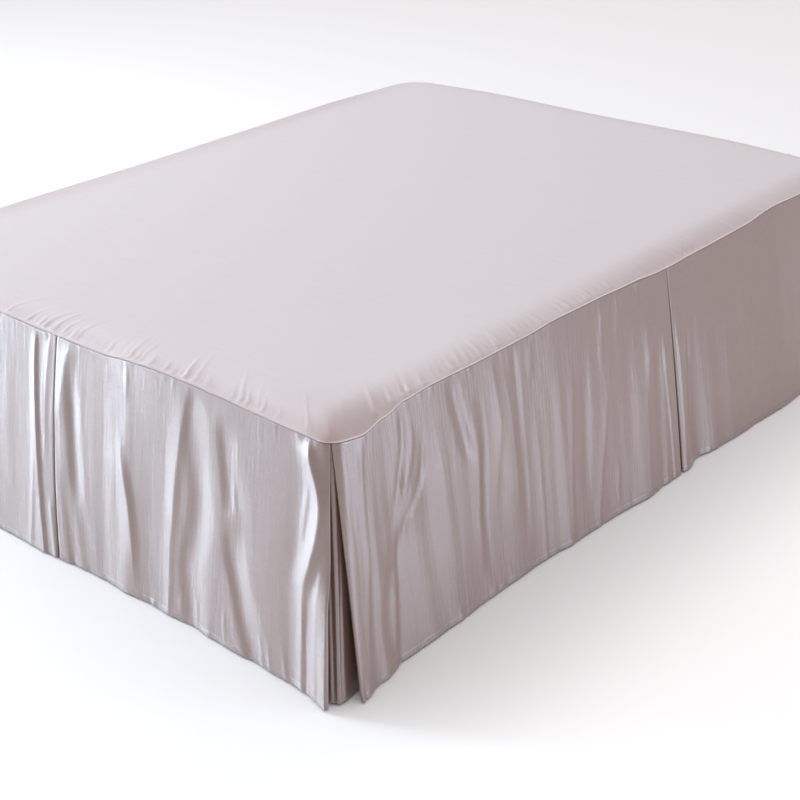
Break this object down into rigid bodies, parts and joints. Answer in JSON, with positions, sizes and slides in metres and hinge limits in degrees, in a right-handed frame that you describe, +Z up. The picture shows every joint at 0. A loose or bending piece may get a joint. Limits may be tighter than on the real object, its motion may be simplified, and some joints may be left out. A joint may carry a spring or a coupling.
{
  "type": "bed skirt on a bed base",
  "caption": "Tailored bed skirt: a flat deck cloth over a bed base, with satin drops to the floor and inverted pleats at the corners and mid sides, as it hangs on the base.",
  "frame": {"origin": "on the floor, under the middle of the bed", "axes": "+Z up; +Y towards the head of the bed, so the foot faces -Y; X across the bed"},
  "size_m": [1.7098, 2.2138, 0.53],
  "materials": {
    "deck_cloth": "matte plain-woven microfibre, pale pinkish grey",
    "satin": "polyester satin with a strong soft sheen, silver grey",
    "base_cloth": "plain woven upholstery, hidden under the skirt",
    "leg_wood": "turned hardwood, lacquered, hidden under the skirt"
  },
  "bodies": {
    "root": {"deck": "deck_cloth", "drop_foot_1": "satin", "drop_foot_2": "satin", "pleat_back_foot": "satin", "drop_right_1": "satin", "drop_right_2": "satin", "pleat_back_right": "satin", "drop_head_1": "satin", "drop_head_2": "satin", "pleat_back_head": "satin", "drop_left_1": "satin", "drop_left_2": "satin", "pleat_back_left": "satin", "corner_back_1": "satin", "corner_back_2": "satin", "corner_back_3": "satin", "corner_back_4": "satin", "bed_base": "base_cloth", "leg_1": "leg_wood", "leg_2": "leg_wood", "leg_3": "leg_wood", "leg_4": "leg_wood", "leg_5": "leg_wood", "leg_6": "leg_wood"}
  },
  "joints": []
}
